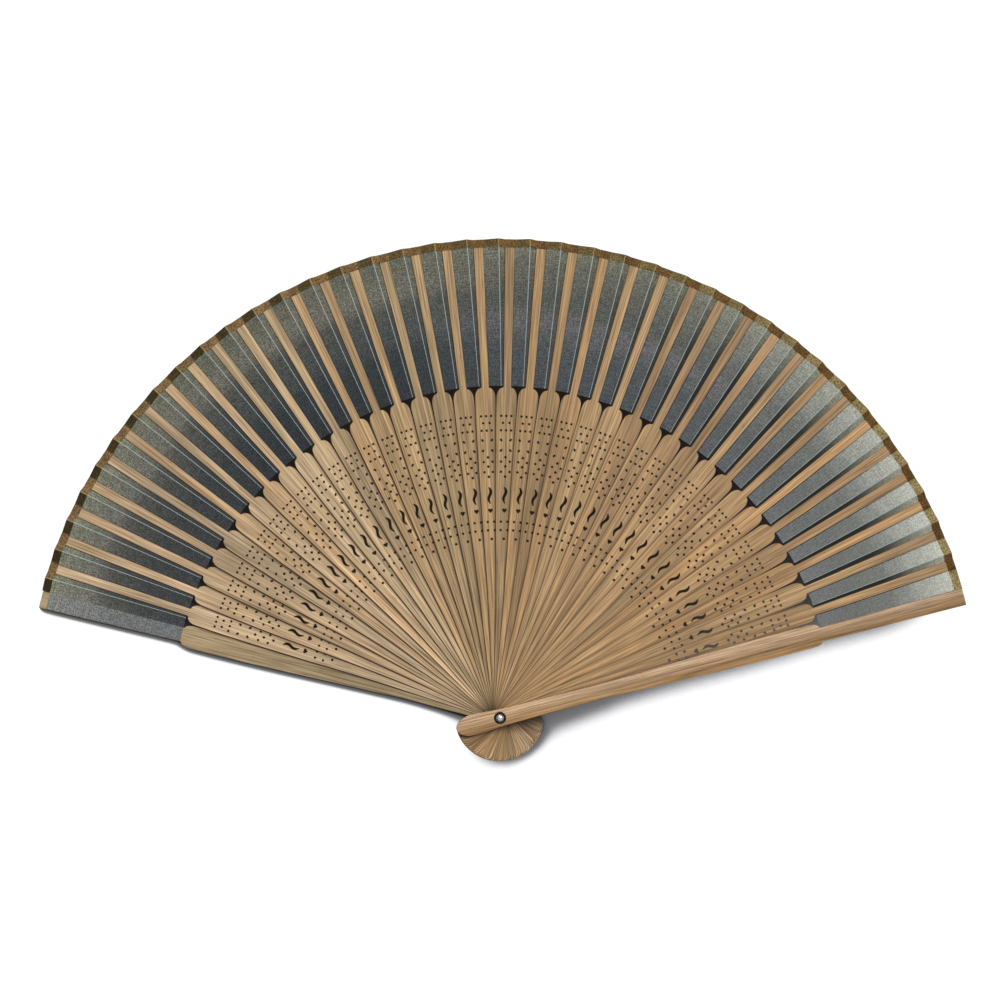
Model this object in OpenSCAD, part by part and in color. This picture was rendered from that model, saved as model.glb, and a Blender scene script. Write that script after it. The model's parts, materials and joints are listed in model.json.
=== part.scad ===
// Pierced folding fan, lying open with its front side up.
//
// Two stout guards and a stack of thin pierced ribs turn on one rivet. A pleated
// leaf is glued behind the arms of the ribs, and a folded tape binds its outer edge.
// The rivet's axis is Z, the open fan spreads to both sides of +Y, and the rear
// guard's outer face lies at z = 0. Every stick lies level, one layer above the
// last, so that the sticks can turn over one another until they are stacked.

/* [Opening] */
// Angle between the guards when the fan is open, in degrees
spread = 151.2; // [130:0.1:160]
// Number of ribs between the guards
rib_count = 38; // [30:1:38]
// Angle from a guard to the rib beside it, in degrees
end_step = 4.1; // [3.9:0.05:4.6]
// How unevenly the ribs are spread, from 0 for equal steps
step_growth = 0.018; // [0:0.002:0.04]
// How far the ribs stray from even steps, in three waves across the fan, in degrees
step_wave = 0.18; // [0:0.02:0.4]

/* [Lengths from the rivet] */
// Tips of the sticks
tip_r = 191.4; // [185:0.1:200]
// Top of the shoulders, where a stick narrows to its arm
shoulder_r = 132.2; // [128:0.1:136]
// Tail of the sticks, behind the rivet
tail_r = 18; // [15:0.5:20]
// Inner edge of the leaf
leaf_r = 132.9; // [132.5:0.1:137]
// Width of the hem that the tape binds
hem_w = 3.5; // [2:0.1:5]

/* [Ribs] */
// Thickness of a rib
rib_t = 0.4; // [0.3:0.05:0.8]
// Width of a rib at its tail
rib_tail_w = 5.1; // [4.6:0.1:6]
// Width of a rib across its pierced body
rib_body_w = 8.2; // [7.4:0.1:8.8]
// Width of a rib's arm at the shoulders
rib_arm_w = 3.05; // [2.5:0.05:3.6]
// Width of a rib's arm at its tip
rib_tip_w = 3.95; // [3:0.05:4.1]
// Diameter of the small round piercings
dot_d = 0.85; // [0.5:0.05:0.95]

/* [Guards] */
// Thickness of a guard
guard_t = 2.6; // [2:0.1:4]
// Width of a guard at the rivet
guard_tail_w = 6.4; // [6.2:0.1:7.5]
// Width of a guard across its body
guard_body_w = 9.2; // [8.5:0.1:10]
// Width of a guard's arm at the shoulders
guard_arm_w = 5.7; // [5:0.1:6.5]
// Width of a guard's arm at its tip
guard_tip_w = 6.8; // [6:0.1:7.5]
// How far a guard's outer face falls away at its long edges
guard_crown = 0.9; // [0.3:0.1:1.4]

/* [Leaf] */
// Gap between neighbouring sticks, which holds the folded leaf
layer_gap = 0.1; // [0.1:0.01:0.3]
// Height of a mountain fold over the ribs beside it, at the outer edge
fold_lift = 1.1; // [0.4:0.1:1.6]
// How far the hem stands out further at a mountain fold than at a rib
fold_reach = 0.35; // [0:0.05:0.6]

/* [Rivet] */
// Diameter of the rivet's shank
shank_d = 2; // [1.6:0.1:2.4]
// Diameter of the washers under the rivet's heads
washer_d = 4.4; // [4.2:0.1:4.8]

/* [Hidden] */
$fn = 48;
last = rib_count + 1;
layer = rib_t + layer_gap;
front_z = guard_t + layer_gap + rib_count * layer;
top_z = front_z + guard_t;

// Where a stick starts to widen above its tail, and where it is at its widest
waist_r = 38;
full_r = 118;
// Rounded shoulders, along the stick and across it
rib_shoulder = [4, 2.35];
guard_shoulder = [4.2, 1.5];
// The arms stand a little clockwise of the sticks' middle lines at the shoulders
arm_shift = -0.2;
// Each stick's shape near the rivet, as the depth of the pinch at its waist, the height
// of the swell on each side of its tail, and the length of its rounded end
rib_trim = [0, 0, rib_tail_w / 2];
guard_trim = [0.25, 0.95, 7];
pinch_l = 9;
swell_r = -11.5;
swell_l = 10;
// Flat land along the middle of each guard's outer face. The fan lies on the rear one.
rear_land = 5.8;
front_land = 2.4;

// Running clearance of the sticks on the shank, and of the parts that stay still
run_gap = 0.05;
still_gap = 0.03;
bore_d = shank_d + 2 * run_gap;
seat_d = washer_d + 0.4;
front_seat = 0.3;
rear_seat = 0.8;
front_washer_t = 0.5;
rear_washer_t = 0.4;
head_d = 2.9;
front_head_h = 0.55;
rear_head_h = 0.3;

// Thickness of the leaf and of the tape, and the clearance round them
leaf_t = 0.06;
tape_t = 0.05;
soft_gap = 0.02;
tape_gap = 0.06;
under_stick = soft_gap + leaf_t;
// Angles from a rib's middle line to its mountain fold, at the inner and outer edge
fold_in = 1.05;
fold_out = 1.42;
fold_lift_in = 0.35;
edge_margin = 0.15;
leaf_outer_r = tip_r + 0.2;
hem_in_r = tip_r + 0.65 - hem_w;
hem_wall_r = tip_r + 0.4;
// How much shorter the leaf is on the guards, where the tape ends
leaf_trim = leaf_outer_r - hem_in_r + 0.25;

function two_digits(i) = str(i < 10 ? "0" : "", i);
function rib_name(i) = str("rib_", two_digits(i));

// Stick 0 is the rear guard, the last one is the front guard and the rest are ribs.
// turn() is the angle from the rear guard to a stick.
function rib_share(i) = (i - 1) / (rib_count - 1);
function eased(s) = (1 - step_growth) * s + step_growth * s * s;
function turn(i) =
    i == 0 ? 0 :
    i == last ? spread :
    end_step + (spread - 2 * end_step) * eased(rib_share(i)) - step_wave * sin(540 * rib_share(i));
function stick_angle(i) = 90 + spread / 2 - turn(i);
function rib_z(i) = guard_t + layer_gap + (i - 1) * layer;

function smooth(t) = let (c = max(0, min(1, t))) c * c * (3 - 2 * c);
function bump(r, middle, length) = exp(-pow((r - middle) / length, 2));
function half_w(r, tail_w, body_w, trim) =
    (tail_w + (body_w - tail_w) * smooth((r - waist_r) / (full_r - waist_r))) / 2
    - trim[0] * bump(r, waist_r, pinch_l)
    + trim[1] * bump(r, swell_r, swell_l);

// One long side of a stick from its tail to its arm, on the side that sign gives
function stick_side(sign, tail_w, body_w, trim, shoulder) =
    let (
        start = trim[2] - tail_r,
        end = shoulder_r - shoulder[0],
        steps = 24,
        wide = half_w(end, tail_w, body_w, trim)
    )
    concat(
        [for (k = [1:steps - 1])
            let (r = start + (end - start) * pow(k / steps, 1.3))
            [r, sign * half_w(r, tail_w, body_w, trim)]],
        [for (a = [0:15:90])
            [end + shoulder[0] * sin(a), sign * (wide - shoulder[1] * (1 - cos(a)))]]
    );

function reversed(points) = [for (k = [len(points) - 1:-1:0]) points[k]];

function stick_outline(tail_w, body_w, arm_w, tip_w, trim, shoulder) =
    let (
        end_l = trim[2],
        end_half = half_w(end_l - tail_r, tail_w, body_w, trim),
        arm_r = shoulder_r + 0.4
    )
    concat(
        [for (a = [90:15:270]) [end_l * (1 + cos(a)) - tail_r, end_half * sin(a)]],
        stick_side(-1, tail_w, body_w, trim, shoulder),
        [[arm_r, arm_shift - arm_w / 2], [tip_r, -tip_w / 2]],
        [[tip_r, tip_w / 2], [arm_r, arm_shift + arm_w / 2]],
        reversed(stick_side(1, tail_w, body_w, trim, shoulder))
    );

// The arm's edges, as distances from a stick's middle line at radius r
function arm_share(r) = (r - shoulder_r) / (tip_r - shoulder_r);
function arm_edge(sign, r, arm_w, tip_w) =
    let (s = arm_share(r))
    arm_shift * (1 - s) + sign * (arm_w + (tip_w - arm_w) * s) / 2;

// Piercings, as distances from the rivet and from the rib's middle line
triple_rows = [[120.8, 2.03], [115, 2.03]];
pair_rows = [[118, 1.3], [102.4, 1.75], [98.3, 1.7], [78.3, 1.3], [74.9, 1.35]];
single_rows = [104.2, 100.5, 96.4, 71.4];
slanted_rows = [[111.1, 1.9, 40], [106.9, 1.87, -40]];
slanted_l = 1.15;
slanted_w = 0.7;
curl_r = 85.6;
curl_l = 6.6;
curl_w = 1.12;
heart_r = 82.7;
heart_l = 1.65;
lobe_d = 0.92;
lobe_gap = 0.84;

// Centre line and width of the curl, from its outer end at s = 0 to its inner end
function curl_y(s) = 0.12 * pow(max(0, 1 - s / 0.18), 2) - 0.5 * sin(385 * (s - 0.03));
function curl_half(s) = curl_w / 2 * max(0.25, sqrt(max(0, sin(180 * pow(s, 0.8)))));

module curl() {
    steps = 18;
    side = [for (k = [0:steps]) k / steps];
    polygon(concat(
        [for (s = side) [curl_r + curl_l * (1 - s), curl_y(s) + curl_half(s)]],
        [for (s = reversed(side)) [curl_r + curl_l * (1 - s), curl_y(s) - curl_half(s)]]
    ));
}

// A heart with its point towards the rivet
module heart() {
    lobe_x = heart_l / 2 - lobe_d / 2;
    lobe_y = lobe_gap / 2;
    reach = norm([lobe_x + heart_l / 2, lobe_y]);
    slope = atan2(lobe_y, lobe_x + heart_l / 2) + asin(lobe_d / 2 / reach);
    side_l = sqrt(reach * reach - lobe_d * lobe_d / 4);
    side_x = side_l * cos(slope) - heart_l / 2;
    side_y = side_l * sin(slope) - 0.01;
    translate([heart_r, 0]) {
        for (sign = [-1, 1])
            translate([lobe_x, sign * lobe_y])
                circle(d = lobe_d);
        polygon([
            [-heart_l / 2, 0],
            [side_x, -side_y],
            [lobe_x, -lobe_y],
            [lobe_x, lobe_y],
            [side_x, side_y]
        ]);
    }
}

module slanted_dot() {
    straight = slanted_l - slanted_w;
    square([straight, slanted_w], center = true);
    for (sign = [-1, 1])
        translate([sign * straight / 2, 0])
            circle(d = slanted_w);
}

module piercings() {
    for (row = triple_rows, side = [-1:1])
        translate([row[0], side * row[1]])
            circle(d = dot_d);
    for (row = pair_rows, side = [-1, 1])
        translate([row[0], side * row[1]])
            circle(d = dot_d);
    for (r = single_rows)
        translate([r, 0])
            circle(d = dot_d * 1.1);
    for (row = slanted_rows, side = [-1, 1])
        translate([row[0], side * row[1]])
            rotate(side * row[2])
                slanted_dot();
    curl();
    heart();
}

module rib(i) {
    color("burlywood")
        translate([0, 0, rib_z(i)])
            rotate(stick_angle(i))
                linear_extrude(rib_t)
                    difference() {
                        polygon(stick_outline(
                            rib_tail_w, rib_body_w, rib_arm_w, rib_tip_w, rib_trim, rib_shoulder
                        ));
                        circle(d = bore_d);
                        piercings();
                    }
}

// A guard lying along +X with its crowned outer face up
module guard(land, seat_depth) {
    crown_half = guard_body_w / 2;
    land_half = land / 2;
    difference() {
        intersection() {
            linear_extrude(guard_t)
                polygon(stick_outline(
                    guard_tail_w, guard_body_w, guard_arm_w, guard_tip_w, guard_trim, guard_shoulder
                ));
            translate([-2 * tail_r, 0, 0])
                rotate([90, 0, 90])
                    linear_extrude(tip_r + 4 * tail_r)
                        polygon(concat(
                            [[-crown_half, 0], [crown_half, 0]],
                            [for (s = [1:-0.125:0])
                                [land_half + (crown_half - land_half) * s, guard_t - guard_crown * s * s]],
                            [for (s = [0:0.125:1])
                                [-land_half - (crown_half - land_half) * s, guard_t - guard_crown * s * s]]
                        ));
        }
        translate([0, 0, -1])
            cylinder(d = bore_d, h = guard_t + 2);
        translate([0, 0, guard_t - seat_depth])
            cylinder(d = seat_d, h = seat_depth + 1);
    }
}

module rear_guard() {
    color("tan")
        rotate(stick_angle(0))
            translate([0, 0, guard_t])
                rotate([180, 0, 0])
                    mirror([0, 1, 0])
                        guard(rear_land, rear_seat);
}

module front_guard() {
    color("tan")
        translate([0, 0, front_z])
            rotate(stick_angle(last))
                guard(front_land, front_seat);
}

// The sides of a strip from rings of n points each. The quads of some sides are split
// along their other diagonal, so that a thin sheet's two faces run side by side.
function band_faces(rings, n, other_sides) = [
    for (k = [0:rings - 2], j = [0:n - 1])
        let (a = k * n + j, b = k * n + (j + 1) % n)
        each search(j, other_sides) != []
            ? [[a, b, a + n], [b, b + n, a + n]]
            : [[a, b, b + n], [a, b + n, a + n]]
];

function polar(r, a, z) = [r * cos(a), r * sin(a), z];

// Angle from a stick's middle line to its arm's edge at radius r, with a margin
function edge_angle(i, sign, r, margin) =
    let (is_guard = i == 0 || i == last)
    asin((arm_edge(
        sign, r,
        is_guard ? guard_arm_w : rib_arm_w,
        is_guard ? guard_tip_w : rib_tip_w
    ) + sign * margin) / r);

// Stations of the leaf, each [angle at its inner edge, at its outer edge, height of
// its lower face at its inner edge, at its outer edge, height of what the tape covers,
// how far its outer edge stands out]
function rib_stations(i) =
    let (
        a = stick_angle(i),
        z = rib_z(i) - under_stick,
        cover = rib_z(i) + rib_t,
        left_in = a + edge_angle(i, 1, leaf_r, edge_margin),
        left_out = a + edge_angle(i, 1, tip_r, edge_margin),
        right_in = a + edge_angle(i, -1, leaf_r, edge_margin),
        right_out = a + edge_angle(i, -1, tip_r, edge_margin),
        drop = 0.12
    )
    [
        [a + fold_in, a + fold_out, z + fold_lift_in, z + fold_lift, z + fold_lift + leaf_t, fold_reach],
        [left_in, left_out, z, z, cover, 0],
        [right_in, right_out, z, z, cover, 0],
        [right_in - drop, right_out - drop, z + 0.02, z + 0.05, z + 0.05 + leaf_t, 0]
    ];

function guard_station(i, sign, z, margin, reach) = [
    stick_angle(i) + edge_angle(i, sign, leaf_r, margin),
    stick_angle(i) + edge_angle(i, sign, tip_r, margin),
    z, z, z + leaf_t, reach
];

rear_leaf_z = guard_t + soft_gap;
front_leaf_z = front_z - under_stick;
tape_stations = concat(
    [guard_station(0, -1, rear_leaf_z, 2 * edge_margin, 0)],
    [for (i = [1:rib_count]) each rib_stations(i)],
    [guard_station(last, 1, front_leaf_z, 2 * edge_margin, 0)]
);
leaf_stations = concat(
    [for (sign = [1, -1]) guard_station(0, sign, rear_leaf_z, -0.2, -leaf_trim)],
    [guard_station(0, -1, rear_leaf_z, edge_margin, -leaf_trim)],
    tape_stations,
    [guard_station(last, 1, front_leaf_z, edge_margin, -leaf_trim)],
    [for (sign = [1, -1]) guard_station(last, sign, front_leaf_z, -0.2, -leaf_trim)]
);

module leaf() {
    n = 4;
    color("slategray")
        polyhedron(
            points = [for (s = leaf_stations) each [
                polar(leaf_r, s[0], s[2]),
                polar(leaf_outer_r + s[5], s[1], s[3]),
                polar(leaf_outer_r + s[5], s[1], s[3] + leaf_t),
                polar(leaf_r, s[0], s[2] + leaf_t)
            ]],
            faces = concat(
                band_faces(len(leaf_stations), n, [2]),
                [[3, 2, 1, 0]],
                [[for (j = [0:n - 1]) (len(leaf_stations) - 1) * n + j]]
            ),
            convexity = 10
        );
}

// The tape's section at a station: a U laid on its side, open towards the rivet. Its
// edges follow the leaf, which drops and turns a little towards its inner edge.
function tape_ring(s) =
    let (
        low = s[3] - tape_gap,
        high = s[4] + tape_gap,
        in_r = hem_in_r + s[5],
        wall_r = hem_wall_r + s[5],
        out_r = wall_r + tape_t,
        inward = (leaf_outer_r + s[5] - in_r) / (leaf_outer_r + s[5] - leaf_r),
        in_a = s[1] - (s[1] - s[0]) * inward,
        drop = (s[3] - s[2]) * inward
    )
    [
        polar(in_r, in_a, low - tape_t - drop),
        polar(out_r, s[1], low - tape_t),
        polar(out_r, s[1], high + tape_t),
        polar(in_r, in_a, high + tape_t - drop),
        polar(in_r, in_a, high - drop),
        polar(wall_r, s[1], high),
        polar(wall_r, s[1], low),
        polar(in_r, in_a, low - drop)
    ];

module hem_tape() {
    n = 8;
    end = (len(tape_stations) - 1) * n;
    caps = [[0, 1, 6], [0, 6, 7], [1, 2, 5], [1, 5, 6], [2, 3, 4], [2, 4, 5]];
    color("darkolivegreen")
        polyhedron(
            points = [for (s = tape_stations) each tape_ring(s)],
            faces = concat(
                band_faces(len(tape_stations), n, [2, 6]),
                [for (t = caps) reversed(t)],
                [for (t = caps) [for (k = t) k + end]]
            ),
            convexity = 10
        );
}

module rivet() {
    bottom_z = rear_seat - still_gap - rear_washer_t - still_gap - rear_head_h;
    front_head_z = top_z - front_seat + run_gap + front_washer_t + still_gap;
    dome_r = (pow(head_d / 2, 2) + pow(front_head_h, 2)) / (2 * front_head_h);
    color("silver") {
        translate([0, 0, bottom_z])
            cylinder(d = shank_d, h = front_head_z + 0.1 - bottom_z);
        translate([0, 0, bottom_z])
            cylinder(d1 = head_d - 0.3, d2 = head_d, h = rear_head_h);
        intersection() {
            translate([0, 0, front_head_z])
                cylinder(d = head_d, h = front_head_h + 1);
            translate([0, 0, front_head_z + front_head_h - dome_r])
                sphere(r = dome_r);
        }
    }
}

module washer(t, rim) {
    hole_r = shank_d / 2 + still_gap;
    outer_r = washer_d / 2;
    rotate_extrude()
        polygon([
            [hole_r, 0],
            [outer_r, 0],
            [outer_r, t - rim / 2],
            [outer_r - rim / 2, t],
            [outer_r - 2 * rim, t],
            [outer_r - 3 * rim, t - rim],
            [hole_r, t - rim]
        ]);
}

module front_washer() {
    color("dimgray")
        translate([0, 0, top_z - front_seat + run_gap])
            washer(front_washer_t, 0.15);
}

module rear_washer() {
    color("dimgray")
        translate([0, 0, rear_seat - still_gap])
            mirror([0, 0, 1])
                washer(rear_washer_t, 0.1);
}

rear_guard();
for (i = [1:rib_count]) rib(i);
front_guard();
leaf();
hem_tape();
rivet();
front_washer();
rear_washer();
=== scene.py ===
"""A pierced folding fan with a pleated silk leaf, open on a white floor and seen from straight above."""

import json
import math
import random

import bpy
import numpy as np
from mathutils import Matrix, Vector


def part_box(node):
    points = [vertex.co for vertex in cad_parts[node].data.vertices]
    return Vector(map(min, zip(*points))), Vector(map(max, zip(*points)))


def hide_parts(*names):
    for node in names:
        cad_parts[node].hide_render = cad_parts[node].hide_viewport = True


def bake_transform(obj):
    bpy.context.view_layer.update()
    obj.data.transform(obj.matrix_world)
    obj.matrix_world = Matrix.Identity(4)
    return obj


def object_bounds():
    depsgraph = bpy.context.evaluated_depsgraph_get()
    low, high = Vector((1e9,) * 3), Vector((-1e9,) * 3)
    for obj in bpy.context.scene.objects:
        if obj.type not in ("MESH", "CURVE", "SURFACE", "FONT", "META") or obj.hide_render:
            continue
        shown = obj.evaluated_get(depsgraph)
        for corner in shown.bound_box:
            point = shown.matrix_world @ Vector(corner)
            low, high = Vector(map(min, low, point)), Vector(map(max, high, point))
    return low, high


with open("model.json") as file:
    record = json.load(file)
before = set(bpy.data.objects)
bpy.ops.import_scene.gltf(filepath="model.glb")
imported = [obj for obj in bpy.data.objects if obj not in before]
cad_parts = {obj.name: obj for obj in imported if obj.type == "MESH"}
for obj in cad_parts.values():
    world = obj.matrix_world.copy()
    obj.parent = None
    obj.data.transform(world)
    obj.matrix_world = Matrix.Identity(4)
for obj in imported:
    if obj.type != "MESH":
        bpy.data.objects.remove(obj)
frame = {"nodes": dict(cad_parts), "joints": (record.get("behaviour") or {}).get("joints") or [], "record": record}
cad_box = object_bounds()

MM = 0.001
CREVICE_SHADE_REACH = 1.4 * MM  # how far the painted shade of a neighbouring stick reaches onto another
RIM_WIDTH = 0.28 * MM  # width of the browned edge round a rib and its holes
rng = random.Random(7)

# ---------------------------------------------------------------- the fan's layout, from the frame

joints = {j["name"]: j for j in frame["joints"]}
couplings = frame["record"]["behaviour"]["couplings"]
SPREAD = joints["fan_close"]["range_deg"][1]
RIBS = sorted(n for n in frame["nodes"] if n.startswith("rib_"))
STICKS = ["rear_guard", *RIBS, "front_guard"]
LAST = len(STICKS) - 1
ratio_of = {c["joint"]: c["ratio"] for c in couplings}
TURN_SHARE = [0.0, *[ratio_of[f"{n}_turn"] for n in RIBS], 1.0]
ANGLES = [90 + SPREAD / 2 - SPREAD * share for share in TURN_SHARE]


def points_of(node):
    """A CAD node's vertices, in metres."""
    mesh = frame["nodes"][node].data
    co = np.zeros(len(mesh.vertices) * 3)
    mesh.vertices.foreach_get("co", co)
    return co.reshape(-1, 3)


def along_stick(index):
    """A stick's vertices, turned so that it lies along +X."""
    co = points_of(STICKS[index])
    a = math.radians(ANGLES[index])
    x = co[:, 0] * math.cos(a) + co[:, 1] * math.sin(a)
    y = co[:, 1] * math.cos(a) - co[:, 0] * math.sin(a)
    return x, y, co[:, 2]


def radii_of(node):
    """The smallest and the largest distance of a CAD node's vertices from the rivet's axis."""
    co = points_of(node)
    r = np.hypot(co[:, 0], co[:, 1])
    return r.min(), r.max()


REACH = 0.35 * MM  # how far the hem stands out further at a mountain fold than at a rib
LEAF_IN, LEAF_OUT = radii_of("leaf")
TAPE_IN, TAPE_OUT = radii_of("hem_tape")
LEAF_OUT, TAPE_OUT = LEAF_OUT - REACH, TAPE_OUT - REACH


def arm_edges(index):
    """[(radius, lowest y, highest y)] of a stick's arm, at its foot and at its tip."""
    x, y, _ = along_stick(index)
    tip = x > x.max() - 0.1 * MM
    foot = (x > LEAF_IN - 0.5 * MM) & (x < LEAF_IN + 1.5 * MM) & (np.abs(y) < 3.2 * MM)
    return [(x[s].mean(), y[s].min(), y[s].max()) for s in (foot, tip)]


ARMS = [arm_edges(k) for k in range(LAST + 1)]


def edge_angle(index, side, r):
    """Degrees from a stick's middle line to its arm's edge at radius r.

    side is 1 for the left edge and -1 for the right one.
    """
    (r0, low0, high0), (r1, low1, high1) = ARMS[index]
    t = (r - r0) / (r1 - r0)
    y = (high0 + (high1 - high0) * t) if side > 0 else (low0 + (low1 - low0) * t)
    return math.degrees(math.asin(y / r))


def polar(r, degrees, z):
    a = math.radians(degrees)
    return (r * math.cos(a), r * math.sin(a), z)


def placed(name, data):
    """A new object in the scene."""
    piece = bpy.data.objects.new(name, data)
    bpy.context.scene.collection.objects.link(piece)
    return piece


# ---------------------------------------------------------------- small helpers for node trees

LIGHT_LEVEL = 1.3  # how brightly the light fills a level white surface, where 1 just looks white
BUMP_DEPTH = 0.2 * MM


def new_material(name):
    m = bpy.data.materials.new(name)
    m.use_nodes = True
    m.node_tree.nodes.clear()
    return m, m.node_tree


def add(tree, kind, settings=None, **inputs):
    """A new node. Its inputs are sockets to link, or values.

    in_0 means the first input, and the other names have _ for a space.
    """
    n = tree.nodes.new(kind)
    for key, value in (settings or {}).items():
        setattr(n, key, value)
    for key, value in inputs.items():
        socket = n.inputs[int(key[3:])] if key.startswith("in_") else n.inputs[key.replace("_", " ")]
        if isinstance(value, bpy.types.NodeSocket):
            tree.links.new(value, socket)
        else:
            socket.default_value = value
    return n


def maths(tree, operation, a, b):
    return add(tree, "ShaderNodeMath", {"operation": operation}, in_0=a, in_1=b).outputs[0]


def mixed(tree, factor, a, b, blend="MIX"):
    n = tree.nodes.new("ShaderNodeMix")
    n.data_type = "RGBA"
    n.blend_type = blend
    n.clamp_factor = True
    for index, value in ((0, factor), (6, a), (7, b)):
        if isinstance(value, bpy.types.NodeSocket):
            tree.links.new(value, n.inputs[index])
        else:
            n.inputs[index].default_value = value
    return n.outputs[2]


def tinted(tree, base, shade, strength=1.0):
    """The base colour multiplied by shade."""
    return mixed(tree, strength, base, shade, "MULTIPLY")


def ramp(tree, factor, stops, interpolation="EASE"):
    n = add(tree, "ShaderNodeValToRGB", Fac=factor)
    n.color_ramp.interpolation = interpolation
    elements = n.color_ramp.elements
    while len(elements) < len(stops):
        elements.new(0.5)
    for element, (position, colour) in zip(elements, stops):
        element.position = position
        element.color = colour
    return n.outputs[0]


def steps(tree, value, low, high, to_low=0.0, to_high=1.0):
    n = add(
        tree, "ShaderNodeMapRange", {"interpolation_type": "SMOOTHSTEP"},
        Value=value, From_Min=low, From_Max=high, To_Min=to_low, To_Max=to_high,
    )
    return n.outputs[0]


def scaled_by(tree, vector, scale):
    return add(tree, "ShaderNodeVectorMath", {"operation": "MULTIPLY"}, in_0=vector, in_1=scale).outputs[0]


def noise(tree, vector, stretch, detail, roughness=0.5):
    """Smooth noise from 0 to 1, with stretch cells to each unit of vector along its three axes."""
    scaled = scaled_by(tree, vector, stretch)
    return add(
        tree, "ShaderNodeTexNoise", Vector=scaled, Scale=1.0, Detail=detail, Roughness=roughness,
    ).outputs[0]


def length(tree, vector):
    return add(tree, "ShaderNodeVectorMath", {"operation": "LENGTH"}, in_0=vector).outputs["Value"]


def surface(tree, **inputs):
    """Ends a material's tree with a shader that has these inputs."""
    shader = add(tree, "ShaderNodeBsdfPrincipled", **inputs)
    add(tree, "ShaderNodeOutputMaterial", Surface=shader.outputs[0])


def linear(value):
    """A screen value from 0 to 1 as linear light."""
    return value / 12.92 if value <= 0.04045 else ((value + 0.055) / 1.055) ** 2.4


def rgb(r, g, b):
    """The linear colour that in this light looks like r, g, b on screen, which go from 0 to 255."""
    return (*(linear(c / 255) / LIGHT_LEVEL for c in (r, g, b)), 1.0)


def grey(value):
    return (value, value, value, 1.0)


def painted_crevice_shade(tree, base, radius, strength):
    """The colour darkened to brown where another stick stands close by: painted shade in the gaps between sticks.

    The brown band is narrower near the rivet, where the sticks crowd together.
    """
    reach = steps(tree, radius, 10 * MM, 75 * MM, 0.15 * MM, CREVICE_SHADE_REACH)
    open_sky = add(tree, "ShaderNodeAmbientOcclusion", {"samples": 12}, Distance=reach).outputs["AO"]
    shade = mixed(tree, steps(tree, open_sky, 0.8, 1.0), (0.13, 0.07, 0.03, 1.0), grey(1.0))
    return tinted(tree, base, shade, strength)


def darkened_rims(tree, base, width, strength):
    """The colour browned along a stick's edges and round its pierced holes, up to width in from them."""
    settings = {"samples": 8, "inside": True}
    inward = add(tree, "ShaderNodeAmbientOcclusion", settings, Distance=width).outputs["AO"]
    shade = mixed(tree, steps(tree, inward, 0.6, 0.98), (0.2, 0.13, 0.07, 1.0), grey(1.0))
    return tinted(tree, base, shade, strength)


# ---------------------------------------------------------------- bamboo


def guard_painted_highlight(tree, turned):
    """Painted shading across a guard: a painted highlight along its upper part, and painted shade that makes it
    darker and more golden towards its lower side.
    """
    across = add(tree, "ShaderNodeSeparateXYZ", Vector=turned).outputs[1]
    share = steps(tree, across, -4 * MM, 3.5 * MM)
    return ramp(tree, share, [
        (0.0, (1.0, 0.94, 0.78, 1)), (0.35, (1.06, 1.02, 0.96, 1)), (0.6, (1.16, 1.18, 1.28, 1)),
        (0.85, (1.45, 1.5, 1.7, 1)), (1.0, (1.3, 1.32, 1.4, 1)),
    ], "LINEAR")


def along_grain(tree, where, angle, seed):
    """(place with X along a stick that lies at angle, the same place in the stick's own piece of wood)"""
    turned = add(
        tree, "ShaderNodeMapping", {"vector_type": "TEXTURE"},
        Vector=where, Rotation=(0, 0, math.radians(angle)),
    ).outputs[0]
    shift = (seed * 1.37, seed * 0.71, seed * 0.13)
    own = add(tree, "ShaderNodeVectorMath", {"operation": "ADD"}, in_0=turned, in_1=shift).outputs[0]
    return turned, own


def fibres(tree, own, light, dark):
    """(colour of the straight grain, its height, its finest threads)"""

    def stretched(along, across, detail, roughness=0.6):
        return noise(tree, own, (along, across, across), detail, roughness)

    fine, bundles = stretched(60, 2600, 1), stretched(18, 1150, 2)
    broad, flecks = stretched(12, 160, 1), stretched(220, 2200, 1, 0.3)
    base = mixed(tree, ramp(tree, broad, [(0.38, grey(0)), (0.62, grey(1))]), dark, light)
    base = tinted(tree, base, ramp(tree, bundles, [
        (0.3, (0.6, 0.55, 0.47, 1)), (0.42, (0.9, 0.88, 0.84, 1)), (0.52, grey(1.02)), (0.66, grey(1.28)),
    ]))
    base = tinted(tree, base, ramp(tree, fine, [
        (0.34, (0.7, 0.67, 0.6, 1)), (0.5, grey(1.0)), (0.66, grey(1.25)),
    ]))
    base = tinted(tree, base, ramp(tree, flecks, [(0.68, grey(1.0)), (0.76, grey(0.62))]), 0.7)
    height = maths(tree, "ADD", maths(tree, "MULTIPLY", bundles, 0.6), maths(tree, "MULTIPLY", fine, 0.4))
    return base, height, fine


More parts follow.
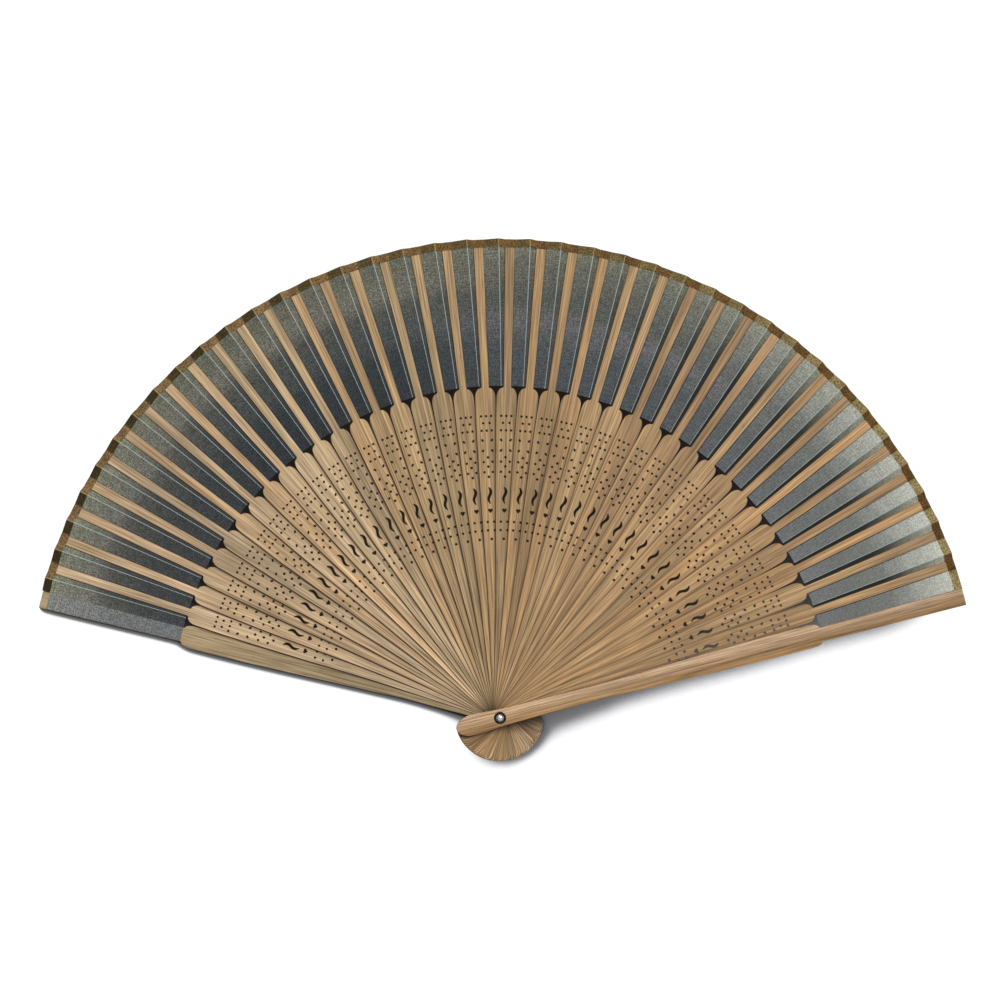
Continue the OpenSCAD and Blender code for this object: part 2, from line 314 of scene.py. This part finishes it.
def bamboo(name, angle, light, dark, seed, rough=0.42, gaps=1.0, edges=0.0, painted_highlight=False, round_edge=0.0):
    """Straight-grained bamboo, with fibres that run along a stick lying at angle.

    gaps is how dark the painted shade on the stick is beside its neighbours, and edges how brown its cut
    edges are, which fades towards the rivet. The guard's painted-light flag gives it a painted highlight along
    its upper side and painted shade towards its darker, more golden lower side. round_edge is the radius that
    its edges are smoothed to.
    """
    m, t = new_material(name)
    where = add(t, "ShaderNodeTexCoord").outputs["Object"]
    turned, own = along_grain(t, where, angle, seed)
    base, height, fine = fibres(t, own, light, dark)
    radius = length(t, where)
    # Painted shade in the gaps beside neighbouring sticks
    base = painted_crevice_shade(t, base, radius, gaps)
    if edges:
        # Darker rims along the stick's edges and round its holes, fading towards the rivet
        base = darkened_rims(t, base, RIM_WIDTH, steps(t, radius, 20 * MM, 75 * MM, 0.1 * edges, edges))
    # Painted highlight along the guard's upper side and painted shade towards its lower side
    if painted_highlight:
        base = tinted(t, base, guard_painted_highlight(t, turned))
    bump = add(t, "ShaderNodeBump", Strength=0.25, Distance=BUMP_DEPTH, Height=height)
    if round_edge:
        bevel = add(t, "ShaderNodeBevel", {"samples": 4}, Radius=round_edge)
        t.links.new(bevel.outputs[0], bump.inputs["Normal"])
    shine = add(
        t, "ShaderNodeMapRange",
        Value=fine, From_Min=0.3, From_Max=0.7, To_Min=rough + 0.08, To_Max=rough - 0.06,
    ).outputs[0]
    surface(t, Base_Color=base, Roughness=shine, Normal=bump.outputs[0], Specular_IOR_Level=0.35)
    return m


def dress(node, material):
    """A CAD node's new material."""
    mesh = frame["nodes"][node].data
    mesh.materials.clear()
    mesh.materials.append(material)


REAR_GUARD = (161, 138, 104)
FRONT_GUARD = (166, 134, 98)
# Colours of the ribs across the fan, by their share of the way from the rear guard to the front one
RIB_TONES = [
    (0.0, (186, 158, 124)), (0.27, (185, 158, 122)), (0.36, (176, 147, 106)), (0.55, (157, 128, 89)),
    (0.7, (166, 134, 95)), (1.0, (162, 131, 91)),
]


def rib_tone(share):
    """A rib's colour, by its share of the way across the fan."""
    for (low, before), (high, after) in zip(RIB_TONES, RIB_TONES[1:]):
        if share <= high:
            t = (share - low) / (high - low)
            return [p + (q - p) * t for p, q in zip(before, after)]
    return RIB_TONES[-1][1]


def tone(colour, value, warmth):
    """A colour made lighter or darker by value, and redder or yellower by warmth."""
    r, g, b = colour
    return rgb(r * value * (1 + warmth), g * value, b * value * (1 - warmth))


def wood(name, angle, colour, seed, **finish):
    """Bamboo of about this colour, a little lighter or darker, and redder or yellower, at random."""
    value, warmth = rng.uniform(0.95, 1.06), rng.uniform(-0.02, 0.03)
    light, dark = tone(colour, value * 1.05, warmth), tone(colour, value * 0.93, warmth)
    return bamboo(name, angle, light, dark, seed, **finish)


def painted_gap_shade(share):
    """How dark the painted shade beside a rib is, by its share of the way across the fan. It is darker on the left
    ribs, where the step beside each rib faces away from the light.
    """
    t = min(max((share - 0.35) / 0.25, 0.0), 1.0)
    return 1.0 - 0.55 * t


for k, stick in enumerate(STICKS):
    if stick in RIBS:
        colour = rib_tone(k / LAST)
        finish = {"gaps": painted_gap_shade(k / LAST), "edges": 0.8, "round_edge": 0.12 * MM}
    else:
        front = stick == "front_guard"
        colour = FRONT_GUARD if front else REAR_GUARD
        finish = {"rough": 0.36, "painted_highlight": front, "round_edge": 0.5 * MM}
    dress(stick, wood(f"bamboo_{stick}", ANGLES[k], colour, k, **finish))

# ---------------------------------------------------------------- the pleated leaf and its hem

FOLD_IN = 1.05  # degrees from a rib's middle line to its mountain fold, at the leaf's inner edge
FOLD_OUT = 1.42  # the same at its outer edge
LIFT_IN = 0.4 * MM  # height of a mountain fold over the silk glued to the rib beside it, at the inner edge
LIFT_OUT = 1.2 * MM  # the same at the outer edge
VALLEY_TURN = 0.08  # degrees from a rib's glued strip to the valley fold beside it
GLUE = 0.04 * MM  # gap between the silk and the bamboo that it is glued to
FOLD_WIDTH = 0.3 * MM  # width of the light line along a mountain fold, partly painted highlight and partly paler worn silk, at its outer end
NARROW_STEPS, GLUED_STEPS, WIDE_STEPS, ROWS = 3, 3, 8, 26
EDGE_MARGIN = 0.15 * MM  # how far the glued strip shows beside a rib's arm
GUARD_MARGIN = 0.2 * MM  # how far the leaf stays inside a guard's edges
SAG = 0.12 * MM  # how far a wide strip of silk sags between its folds
TAPE_CLEAR = 0.05 * MM  # gap between the hem and what it wraps
TAPE_ROUND = 0.12 * MM  # how far the hem's outer edge is rounded
TAPE_INSET = 0.02 * MM  # how far the hem stays inside its CAD solid's outer edge
TUCK = 0.12 * MM  # how far the leaf drops so that its hem ends under the front guard
HEM_UNDER = 0.4 * MM  # how far the hem runs in under the front guard's edge
CUT_STEP = 0.1 * MM  # width over which the leaf's edge steps back there
GUARD_CUT = TAPE_IN - GUARD_MARGIN - LEAF_OUT  # how far the leaf is cut back at the guards


def rib_underside(index):
    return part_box(STICKS[index])[0].z


def rib_topside(index):
    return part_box(STICKS[index])[1].z


class Station:
    """One radial line of the leaf: its angle a and height z, each at its inner and at its outer edge.

    weight is the share of the front guard's turn that it takes. reach is how far its outer end stands out,
    and cover is the height of the top of what the hem wraps there. fold, narrow and backed are shading
    values: a fold's light line, partly painted highlight and partly paler worn silk; the narrow strips beside
    the ribs, which get painted shade; and the silk glued over a guard.
    """

    def __init__(self, a, z, weight, reach=0.0, cover=None, fold=0.0, narrow=0.0, backed=0.0):
        self.a = a
        self.z = z
        self.weight = weight
        self.reach = reach
        self.cover = z[1] if cover is None else cover
        self.fold = fold
        self.narrow = narrow
        self.backed = backed

    def at(self, share):
        a = self.a[0] + (self.a[1] - self.a[0]) * share
        z = self.z[0] + (self.z[1] - self.z[0]) * share
        r = LEAF_IN + (LEAF_OUT + self.reach - LEAF_IN) * share
        return polar(r, a, z)


def between(p, q, share, sag=0.0):
    """A station part of the way from p to q, which hangs by sag in the middle."""

    def part(x, y):
        return x + (y - x) * share

    drop = sag * math.sin(math.pi * share)
    return Station(
        (part(p.a[0], q.a[0]), part(p.a[1], q.a[1])),
        (part(p.z[0], q.z[0]) - drop * 0.4, part(p.z[1], q.z[1]) - drop),
        part(p.weight, q.weight),
        reach=part(p.reach, q.reach),
        cover=part(p.cover, q.cover) - drop,
        narrow=min(p.narrow, q.narrow),
        backed=min(p.backed, q.backed),
    )


def stick_line(index, side, z, margin, **more):
    """The leaf's line along one edge of a stick's arm, margin outside it."""
    a = [
        ANGLES[index] + edge_angle(index, side, r) + side * math.degrees(margin / r)
        for r in (LEAF_IN, LEAF_OUT)
    ]
    return Station(a, (z, z), TURN_SHARE[index], **more)


def rib_lines(index):
    """A rib's mountain fold, the two edges of the strip glued to it, and the valley fold after it."""
    a, z = ANGLES[index], rib_underside(index) - GLUE
    jitter, lift = rng.uniform(-0.08, 0.08), rng.uniform(0.85, 1.1)
    fold = Station(
        (a + FOLD_IN + jitter, a + FOLD_OUT + jitter), (z + LIFT_IN * lift, z + LIFT_OUT * lift),
        TURN_SHARE[index], reach=REACH * rng.uniform(0.7, 1.1), fold=1.0, narrow=1.0,
    )
    left, right = (
        stick_line(index, side, z, EDGE_MARGIN, cover=rib_topside(index), narrow=1.0) for side in (1, -1)
    )
    valley = Station(
        (right.a[0] - VALLEY_TURN, right.a[1] - VALLEY_TURN), (z + 0.02 * MM, z + 0.03 * MM), right.weight,
    )
    return fold, left, right, valley


def pleat(start, index):
    """Stations from the valley fold at start to the one after rib number index."""
    fold, left, right, valley = rib_lines(index)
    half = math.degrees(FOLD_WIDTH / LEAF_OUT)
    before = between(start, fold, 1 - half / (start.a[1] - fold.a[1]))
    after = between(fold, left, half / (fold.a[1] - left.a[1]))
    lines = [between(start, before, s / WIDE_STEPS, SAG) for s in range(1, WIDE_STEPS)]
    lines += [before, fold, after]
    lines += [between(after, left, s / NARROW_STEPS) for s in range(1, NARROW_STEPS)]
    lines += [between(left, right, s / GLUED_STEPS) for s in range(GLUED_STEPS)]
    return [*lines, right, valley]


def guard_lines(index, z, inset=GUARD_MARGIN):
    """Stations across a guard's arm, from inset inside its left edge to its right one."""
    left = stick_line(index, 1, z, -inset, reach=GUARD_CUT, backed=1.0)
    right = stick_line(index, -1, z, -GUARD_MARGIN, reach=GUARD_CUT, backed=1.0)
    return [between(left, right, s / 4) for s in range(5)]


def leaf_stations():
    """(stations of the leaf, first and last station of its hem)"""
    rear_z, front_z = rib_topside(0) + GLUE, rib_underside(LAST) - GLUE
    start = stick_line(0, -1, rear_z, 2 * EDGE_MARGIN)
    lines = [*guard_lines(0, rear_z), stick_line(0, -1, rear_z, EDGE_MARGIN, reach=GUARD_CUT), start]
    first = len(lines) - 1
    for index in range(1, LAST):
        lines += pleat(lines[-1], index)
    end = stick_line(LAST, 1, front_z - TUCK, -HEM_UNDER)
    lines += [between(lines[-1], end, s / WIDE_STEPS, SAG) for s in range(1, WIDE_STEPS)] + [end]
    last = len(lines) - 1
    lines += [stick_line(LAST, 1, front_z - TUCK, -HEM_UNDER - CUT_STEP, reach=GUARD_CUT)]
    lines += guard_lines(LAST, front_z, inset=HEM_UNDER + 2 * CUT_STEP)
    return lines, first, last


def strip_mesh(name, rings, lines, uv_across):
    """A mesh of quads between rings of points, one ring per station, with the stations' shading values."""
    n = len(rings[0])
    points = [p for ring in rings for p in ring]
    faces = [
        (k * n + j, k * n + j + 1, (k + 1) * n + j + 1, (k + 1) * n + j)
        for k in range(len(rings) - 1)
        for j in range(n - 1)
    ]
    mesh = bpy.data.meshes.new(name)
    mesh.from_pydata(points, [], faces)
    mesh.update()
    span = lines[0].a[1] - lines[-1].a[1]
    uv = mesh.uv_layers.new(name="cloth")
    for loop in mesh.loops:
        k, j = divmod(loop.vertex_index, n)
        uv.data[loop.index].uv = ((lines[0].a[1] - lines[k].a[1]) / span, uv_across[j])
    for key in ("fold", "narrow", "backed"):
        attribute = mesh.attributes.new(key, "FLOAT", "POINT")
        values = np.repeat([getattr(s, key) for s in lines], n).astype(np.float32)
        attribute.data.foreach_set("value", values)
    for polygon in mesh.polygons:
        polygon.use_smooth = True
    return placed(name, mesh)


def fold_with_ribs(piece):
    """Bakes a piece's placement into its mesh.
    """
    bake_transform(piece)


lines, hem_first, hem_last = leaf_stations()
row_shares = [j / (ROWS - 1) for j in range(ROWS)]
rings = [[line.at(share) for share in row_shares] for line in lines]
leaf = strip_mesh("silk_leaf", rings, lines, row_shares)
fold_with_ribs(leaf)
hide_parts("leaf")


def tape_section(line):
    """The hem tape's section: a U on its side, from its upper inner edge round the leaf's outer edge."""
    a, low, high = line.a[1], line.z[1] - TAPE_CLEAR, line.cover + TAPE_CLEAR
    middle, half = (low + high) / 2, (high - low) / 2
    inner, outer = TAPE_IN + line.reach, TAPE_OUT - TAPE_INSET + line.reach
    ring = [polar(inner, a, high), polar((inner + outer) / 2, a, high)]
    for t in range(90, -91, -30):
        wall = outer - TAPE_ROUND * (1 - math.cos(math.radians(t)))
        ring.append(polar(wall, a, middle + half * math.sin(math.radians(t))))
    return [*ring, polar(inner, a, low)]


hem_lines = lines[hem_first : hem_last + 1]
sections = [tape_section(line) for line in hem_lines]
section_shares = [j / (len(sections[0]) - 1) for j in range(len(sections[0]))]
tape = strip_mesh("hem_binding", sections, hem_lines, section_shares)
fold_with_ribs(tape)
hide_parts("hem_tape")


def cloth_marks(tree):
    """(cloth coordinates, share across the fan, share outwards, function that reads a shading value)"""
    cloth = add(tree, "ShaderNodeUVMap", {"uv_map": "cloth"}).outputs[0]
    parts = add(tree, "ShaderNodeSeparateXYZ", Vector=cloth)

    def mark(name):
        return add(tree, "ShaderNodeAttribute", {"attribute_name": name}).outputs["Fac"]

    return cloth, parts.outputs[0], parts.outputs[1], mark


def dyed(tree, place, stops, interpolation="EASE"):
    """A ramp of screen colours."""
    return ramp(tree, place, [(position, rgb(*colour)) for position, colour in stops], interpolation)


# The silk's colours from its inner edge, 0, to its outer one, 1, in four bands across the fan
SILK_LEFT = [
    (0.0, (60, 62, 63)), (0.3, (63, 66, 65)), (0.5, (76, 77, 72)), (0.58, (86, 85, 80)),
    (0.7, (114, 113, 104)), (0.95, (126, 127, 108)),
]
SILK_DARK = [
    (0.0, (44, 49, 52)), (0.28, (49, 55, 57)), (0.46, (71, 75, 73)), (0.6, (80, 81, 75)),
    (0.74, (114, 112, 100)), (0.9, (103, 103, 88)),
]
SILK_MIDDLE = [
    (0.0, (68, 73, 76)), (0.24, (73, 78, 79)), (0.46, (97, 97, 97)), (0.58, (83, 86, 80)),
    (0.8, (98, 99, 88)), (0.95, (116, 116, 100)),
]
SILK_RIGHT = [
    (0.0, (105, 107, 107)), (0.24, (100, 103, 100)), (0.5, (108, 110, 104)), (0.62, (128, 130, 125)),
    (0.74, (156, 158, 149)), (0.95, (184, 185, 172)),
]


def silk_dye(tree, cloth, across, out):
    """The silk's broad colours, whose borders wander a little."""
    wander = noise(tree, cloth, (14, 2.5, 1), 2)
    place = maths(tree, "ADD", out, maths(tree, "MULTIPLY", maths(tree, "SUBTRACT", wander, 0.5), 0.09))
    base = dyed(tree, place, SILK_LEFT)
    for start, end, band in ((0.1, 0.25, SILK_DARK), (0.38, 0.54, SILK_MIDDLE), (0.6, 0.95, SILK_RIGHT)):
        base = mixed(tree, steps(tree, across, start, end), base, dyed(tree, place, band))
    return base


def painted_shade_beside_ribs(tree, across, out):
    """The painted shade of the narrow strips beside the ribs, which is deepest at their inner ends."""
    inner = ramp(tree, across, [
        (0.08, (0.38, 0.36, 0.34, 1)), (0.24, (0.2, 0.19, 0.19, 1)), (0.4, (0.46, 0.44, 0.41, 1)),
        (0.55, (0.62, 0.56, 0.48, 1)), (0.7, (0.13, 0.12, 0.1, 1)),
    ], "LINEAR")
    return mixed(tree, steps(tree, out, 0.45, 1.0), inner, (0.8, 0.8, 0.72, 1))


def silk():
    m, t = new_material("leaf_silk")
    cloth, across, out, mark = cloth_marks(t)
    base = silk_dye(t, cloth, across, out)
    # Painted shade on the narrow strips beside the ribs
    base = tinted(t, base, painted_shade_beside_ribs(t, across, out), mark("narrow"))
    base = mixed(t, maths(t, "MULTIPLY", mark("backed"), 0.75), base, rgb(116, 118, 118))

    slubs, weft, warp = (
        noise(t, cloth, stretch, 1) for stretch in ((760, 115, 1), (90, 150, 1), (950, 22, 1))
    )
    weave = maths(t, "MULTIPLY", maths(t, "ADD", weft, warp), 0.5)
    grain = steps(t, across, 0.5, 1.0, 1.0, 0.5)
    base = tinted(t, base, ramp(t, slubs, [(0.3, grey(0.58)), (0.7, grey(1.45))]), grain)
    base = tinted(t, base, ramp(t, weave, [(0.36, grey(0.68)), (0.64, grey(1.34))]), grain)
    # Painted highlight and paler worn silk along each mountain fold
    crease = steps(t, mark("fold"), 0.15, 0.85)
    base = mixed(t, maths(t, "MULTIPLY", crease, 0.75), base, rgb(176, 190, 190))

    height = maths(t, "ADD", weave, maths(t, "MULTIPLY", slubs, 0.5))
    bump = add(t, "ShaderNodeBump", Strength=0.2, Distance=BUMP_DEPTH, Height=height).outputs[0]
    surface(
        t, Base_Color=base, Normal=bump,
        Roughness=0.62, Sheen_Weight=0.25, Sheen_Roughness=0.4, Specular_IOR_Level=0.25,
    )
    return m


# The hem's colours across the fan, on the wide strips between the ribs and on the narrow ones beside them.
# They hold painted shade as well as the tape's own colour: the wide strips darker towards the left, the
# narrow ones darker towards the right.
HEM_WIDE = [
    (0.0, (58, 46, 22)), (0.3, (74, 60, 32)), (0.5, (104, 85, 50)), (0.7, (128, 110, 70)),
    (1.0, (146, 128, 84)),
]
HEM_NARROW = [(0.0, (116, 91, 57)), (0.3, (120, 95, 59)), (0.5, (104, 78, 41)), (1.0, (90, 62, 27))]


def binding():
    m, t = new_material("hem_tape")
    cloth, across, _, mark = cloth_marks(t)
    patches, weave = noise(t, cloth, (90, 2, 1), 2), noise(t, cloth, (900, 20, 1), 2)
    wide, narrow = dyed(t, across, HEM_WIDE, "LINEAR"), dyed(t, across, HEM_NARROW, "LINEAR")
    # Painted shade: the wide and narrow strips darken on opposite sides of the fan
    base = mixed(t, mark("narrow"), wide, narrow)
    base = tinted(t, base, ramp(t, patches, [(0.35, grey(0.82)), (0.65, grey(1.16))]))
    base = tinted(t, base, ramp(t, weave, [(0.35, grey(0.48)), (0.65, grey(1.52))]))
    # Painted highlight along the hem's folds
    base = mixed(t, maths(t, "MULTIPLY", mark("fold"), 0.7), base, rgb(176, 162, 112))
    bump = add(t, "ShaderNodeBump", Strength=0.3, Distance=BUMP_DEPTH, Height=weave).outputs[0]
    surface(t, Base_Color=base, Normal=bump, Roughness=0.7, Specular_IOR_Level=0.12, Sheen_Weight=0.04)
    return m


leaf.data.materials.append(silk())
tape.data.materials.append(binding())

# ---------------------------------------------------------------- the rivet and its washers

SHADE_RING_BLUR = 0.08 * MM  # how soft the edges of the painted shade ring are


def painted_shade_ring(tree, where, inner, outer):
    """1 between two distances from the rivet's axis, and 0 elsewhere."""
    radius = length(tree, scaled_by(tree, where, (1, 1, 0)))
    return maths(
        tree, "MULTIPLY", steps(tree, radius, inner - SHADE_RING_BLUR, inner + SHADE_RING_BLUR),
        steps(tree, radius, outer - SHADE_RING_BLUR, outer + SHADE_RING_BLUR, 1.0, 0.0),
    )


def metal(name, colour, rough, metallic=1.0, shade_ring=None):
    """Scratched metal, with a painted shade ring round the rivet's axis between the two radii given for it, if
    any.
    """
    m, t = new_material(name)
    where = add(t, "ShaderNodeTexCoord").outputs["Object"]
    scratches = add(t, "ShaderNodeTexNoise", Vector=where, Scale=2600.0, Detail=3.0).outputs[0]
    base = mixed(t, steps(t, scratches, 0.35, 0.7), tuple(c * 0.75 for c in colour[:3]) + (1.0,), colour)
    # Painted shade ring round the rivet's dome
    if shade_ring:
        base = mixed(t, painted_shade_ring(t, where, *shade_ring), base, rgb(24, 22, 20))
    shine = add(
        t, "ShaderNodeMapRange",
        Value=scratches, From_Min=0.3, From_Max=0.7, To_Min=rough - 0.07, To_Max=rough + 0.1,
    ).outputs[0]
    bump = add(t, "ShaderNodeBump", Strength=0.15, Distance=BUMP_DEPTH / 2, Height=scratches).outputs[0]
    surface(t, Base_Color=base, Roughness=shine, Normal=bump, Metallic=metallic)
    return m


dress("rivet", metal("rivet_steel", rgb(248, 248, 248), 0.22, 0.5, shade_ring=(1.05 * MM, 1.3 * MM)))
dress("front_washer", metal("washer_steel", rgb(34, 31, 28), 0.3, 0.5))
dress("rear_washer", metal("rear_washer_steel", rgb(60, 56, 52), 0.34))

# ---------------------------------------------------------------- floor, light and camera

FLOOR_HALF = 20.0  # metres from the middle of the floor to its edges
FLOOR_DROP = 0.05 * MM  # gap between the fan and the floor
SHADE_REACH = 45 * MM  # how far off the fan can be and still put painted shadow on the floor
SKY = 0.22  # how much of LIGHT_LEVEL comes from the sky
FILL = 0.28  # how much comes from the fill light
VIEW_STEP = 0.4018 * MM  # a thousandth of what the frame shows across, at the level of the middle ribs
VIEW_UP = 216.5 * VIEW_STEP  # how far above the rivet the frame's middle is
VIEW_LEAN = 0.26  # degrees that the fan lies turned anticlockwise in the frame
CAMERA_DISTANCE = 1.6
SENSOR = 36.0


def floor_glow_painted_shadow():
    """White that glows from within, so that no lamp's shadow falls on it; the fan's soft shadow is painted into
    the glow.
    """
    m, t = new_material("floor_glow_painted_shadow")
    # The painted shadow counts the sky from +Y, so that it gathers under the fan and below it, but not beyond its
    # hem
    skyward = add(t, "ShaderNodeCombineXYZ", X=-0.05, Y=0.57, Z=0.82).outputs[0]
    open_sky = add(
        t, "ShaderNodeAmbientOcclusion", {"samples": 72}, Distance=SHADE_REACH, Normal=skyward,
    ).outputs["AO"]
    shade = ramp(t, open_sky, [
        (0.36, (0.012, 0.01, 0.008, 1)), (0.43, (0.09, 0.09, 0.095, 1)), (0.57, (0.17, 0.17, 0.18, 1)),
        (0.64, (0.82, 0.82, 0.84, 1)), (0.68, grey(1.0)),
    ], "LINEAR")
    surface(
        t, Emission_Color=shade, Emission_Strength=1.05,
        Base_Color=grey(0.02), Roughness=0.9, Specular_IOR_Level=0.0,
    )
    return m


def floor():
    corners = [(x * FLOOR_HALF, y * FLOOR_HALF, 0) for x, y in ((-1, -1), (1, -1), (1, 1), (-1, 1))]
    mesh = bpy.data.meshes.new("floor")
    mesh.from_pydata(corners, [], [(0, 1, 2, 3)])
    mesh.materials.append(floor_glow_painted_shadow())
    piece = placed("floor", mesh)
    piece.location.z = -FLOOR_DROP


def soft_lamp(name, azimuth, elevation, softness, level):
    """A wide, far lamp that lights a level white surface to level. azimuth is where it stands, from +X."""
    height = math.sin(math.radians(elevation))
    towards = Vector(polar(math.cos(math.radians(elevation)), azimuth, height))
    data = bpy.data.lights.new(name, "SUN")
    data.angle = math.radians(softness)
    data.energy = level * math.pi / height
    lamp = placed(name, data)
    lamp.location = towards * 2
    lamp.rotation_euler = (-towards).to_track_quat("-Z", "Y").to_euler()


def studio():
    """The lights and the world, with colours shown as they are."""
    world = bpy.data.worlds.new("soft_studio")
    world.use_nodes = True
    background = world.node_tree.nodes["Background"]
    background.inputs[0].default_value = (0.93, 0.95, 1, 1)
    background.inputs[1].default_value = SKY
    bpy.context.scene.world = world
    bpy.context.scene.view_settings.view_transform = "Standard"
    soft_lamp("key_light", azimuth=37, elevation=58, softness=18, level=LIGHT_LEVEL - SKY - FILL)
    soft_lamp("fill_light", azimuth=100, elevation=52, softness=30, level=FILL)


def camera_above():
    """A camera that looks straight down on the fan, as the photograph does."""
    data = bpy.data.cameras.new("camera")
    data.sensor_width = SENSOR
    data.lens = SENSOR * CAMERA_DISTANCE / (1000 * VIEW_STEP)
    camera = placed("camera", data)
    middle_z = (cad_box[0].z + cad_box[1].z) / 2
    camera.location = polar(VIEW_UP, 90 - VIEW_LEAN, middle_z + CAMERA_DISTANCE)
    camera.rotation_euler.z = -math.radians(VIEW_LEAN)
    bpy.context.scene.camera = camera


floor()
studio()
camera_above()
